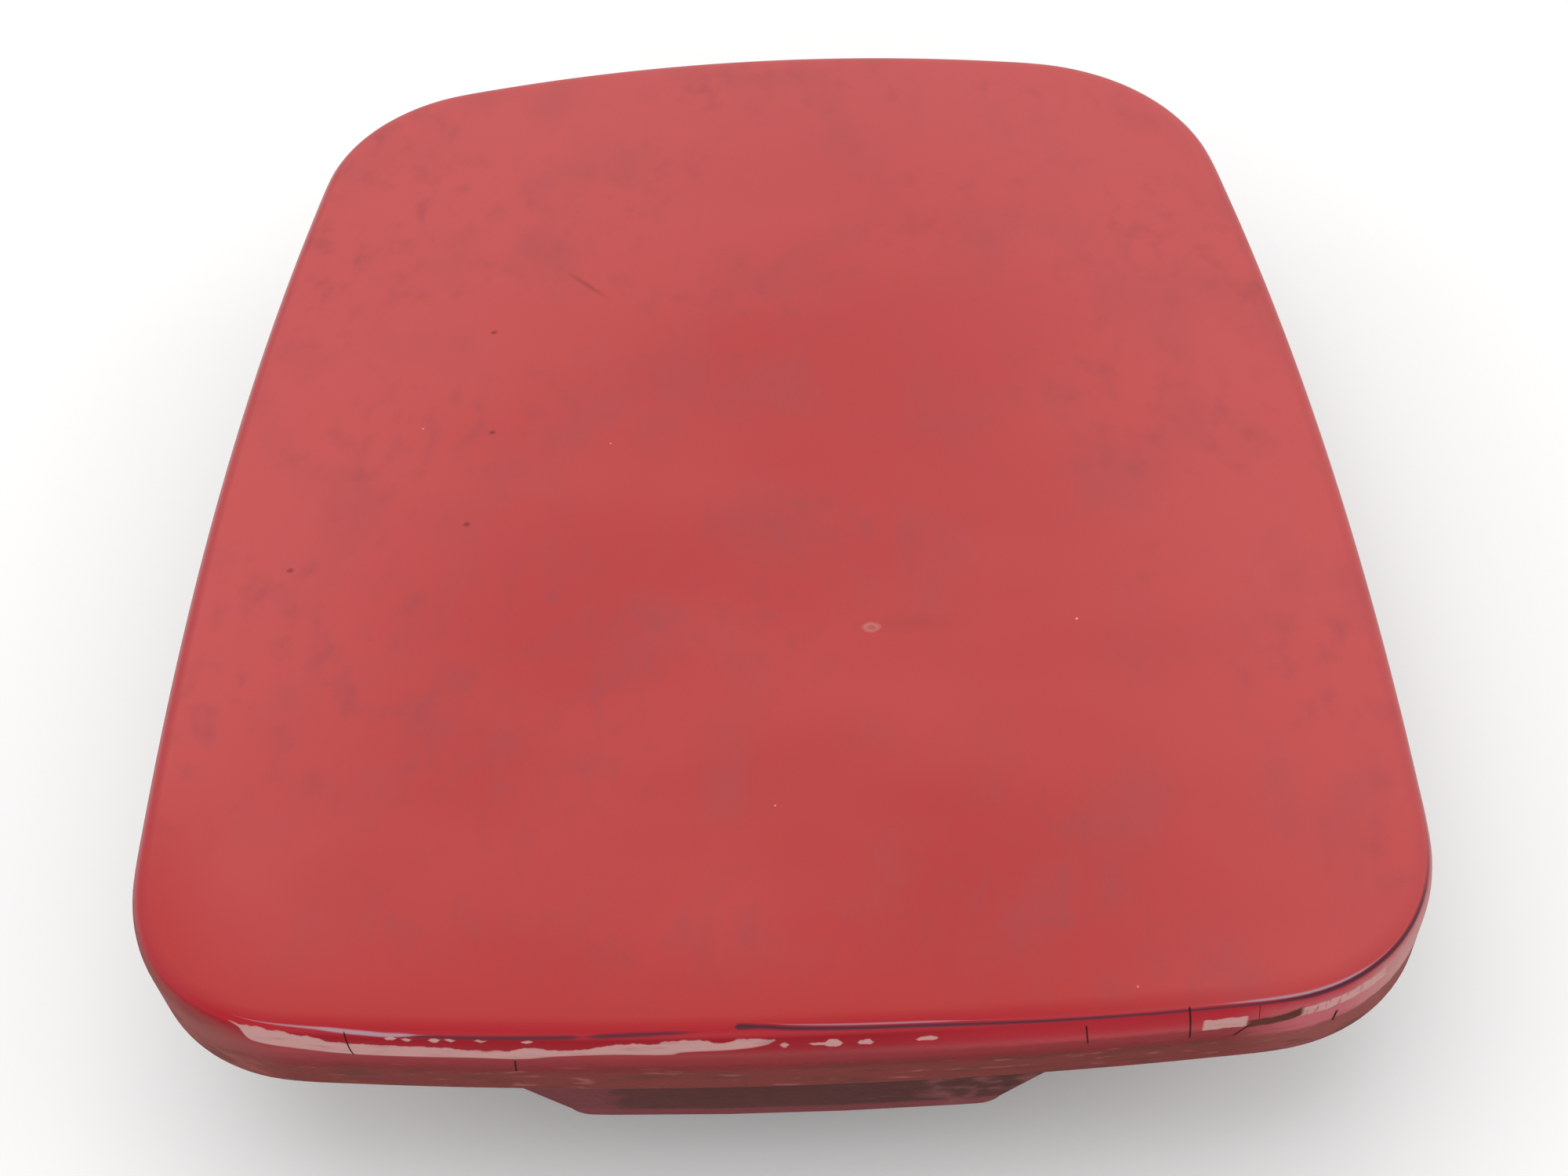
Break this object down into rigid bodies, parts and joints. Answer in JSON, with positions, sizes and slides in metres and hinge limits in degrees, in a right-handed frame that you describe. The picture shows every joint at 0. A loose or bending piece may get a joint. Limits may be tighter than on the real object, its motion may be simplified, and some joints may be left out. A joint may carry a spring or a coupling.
{
  "type": "fuel filler flap",
  "caption": "Slightly crowned, rounded trapezoid filler flap with a turned-down rim, a latch tab and striker, a cap holder and a sprung hinge arm on a foot bracket.",
  "frame": {"origin": "between the two fixing holes of the hinge bracket, on the face that meets the vehicle", "axes": "+Z out of the painted skin, +X along the hinge pin, -Y from the hinge towards the free edge with the latch"},
  "size_m": [0.1621, 0.221, 0.043],
  "materials": {
    "red_paint": "aged red body paint, dull on top and glossy on the rim",
    "red_undercoat": "thin red overspray on grey-brown primer",
    "sealer": "dull seam sealer and mastic",
    "zinc_plate": "zinc plated steel, slightly dulled",
    "spring_steel": "oiled spring steel",
    "black_plastic": "fine-grained moulded plastic",
    "nylon": "natural nylon",
    "rubber": "dull black rubber"
  },
  "bodies": {
    "hinge_base": {"hinge_bracket": "zinc_plate", "hinge_pin": "zinc_plate", "pin_clip": "spring_steel", "hinge_spring": "spring_steel", "stop_pad": "rubber"},
    "flap": {"outer_skin": "red_paint", "inner_panel": "red_undercoat", "hem_sealer": "sealer", "mastic_dabs": "sealer", "latch_plate": "red_undercoat", "latch_striker": "black_plastic", "striker_screws": "zinc_plate", "striker_weld_nuts": "zinc_plate", "hinge_arm": "red_undercoat", "arm_screws": "zinc_plate", "arm_weld_nuts": "zinc_plate", "cap_holder": "black_plastic", "holder_rivets": "black_plastic", "buffer_near_left": "rubber", "buffer_near_right": "rubber", "buffer_far_left": "rubber", "buffer_far_right": "rubber", "bush_left": "nylon", "bush_right": "nylon"}
  },
  "joints": [
    {"name": "flap_hinge", "type": "hinge", "parent": "hinge_base", "child": "flap", "pos_m": [0, 0, 0.015], "axis": [-1, 0, 0], "range_deg": [0, 90], "stiffness_Nm_per_rad": 0.08, "springref_deg": -22.92, "deforming": ["hinge_spring"]}
  ]
}
